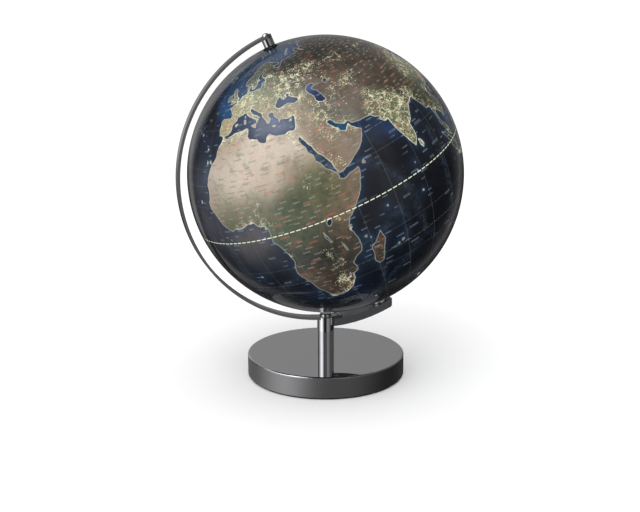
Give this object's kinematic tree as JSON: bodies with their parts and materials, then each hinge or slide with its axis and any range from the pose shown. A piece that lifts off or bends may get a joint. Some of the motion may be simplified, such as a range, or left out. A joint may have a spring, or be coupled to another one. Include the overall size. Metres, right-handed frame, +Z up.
{
  "type": "desktop globe",
  "caption": "Desktop globe: a hollow map ball turning on a tilted axis in a slim meridian arm, on a short stem and a weighted round base, with a lamp inside.",
  "frame": {"origin": "centre of the foot pad's underside, on the table, under the stem and the middle of the ball", "axes": "+Z up along the stem; the meridian arm lies in the XZ plane, and the north pole leans towards -X"},
  "size_m": [0.2611, 0.25, 0.3166],
  "materials": {
    "dark_chrome": "polished dark chrome",
    "arm_chrome": "polished dark chrome",
    "housing_metal": "smooth gunmetal lacquer",
    "bright_chrome": "polished",
    "screw_steel": "zinc plated",
    "weight_steel": "rough cast",
    "bottom_plate": "matt black powder coat",
    "pad_rubber": "matt",
    "map_north": "printed map under clear varnish",
    "map_south": "printed map under clear varnish",
    "inner_plastic": "moulded",
    "bush_plastic": "moulded low-friction plastic",
    "socket_plastic": "moulded",
    "holder_ceramic": "moulded heat-proof",
    "bulb_body": "white enamelled",
    "bulb_diffuser": "frosted",
    "lead_sheath": "matt PVC"
  },
  "bodies": {
    "stand": {"base_disc": "dark_chrome", "base_weight": "weight_steel", "base_plate": "bottom_plate", "base_screws": "screw_steel", "foot_pad": "pad_rubber", "power_inlet": "socket_plastic", "inlet_nut": "screw_steel", "stem_tube": "dark_chrome", "tie_bolt": "screw_steel", "tie_washer": "screw_steel", "arm_cap_nut": "dark_chrome", "meridian_arm": "arm_chrome", "lamp_housing": "housing_metal", "housing_cover": "housing_metal", "housing_screws": "screw_steel", "cover_screw": "screw_steel", "north_pivot_screw": "bright_chrome", "north_spacer": "bright_chrome", "lamp_tube": "bright_chrome", "neck_screws": "screw_steel", "lamp_holder": "holder_ceramic", "bulb_base": "bulb_body", "bulb_dome": "bulb_diffuser", "lamp_lead": "lead_sheath"},
    "globe": {"globe_shell_north": "map_north", "globe_shell_south": "map_south", "equator_ring": "inner_plastic", "north_bush": "bush_plastic", "north_clip": "screw_steel", "south_bush": "bush_plastic", "south_clip": "screw_steel"}
  },
  "joints": [
    {"name": "globe_spin", "type": "hinge", "parent": "stand", "child": "globe", "pos_m": [0, 0, 0.1895], "axis": [-0.3987, 0, 0.9171], "continuous": true}
  ]
}
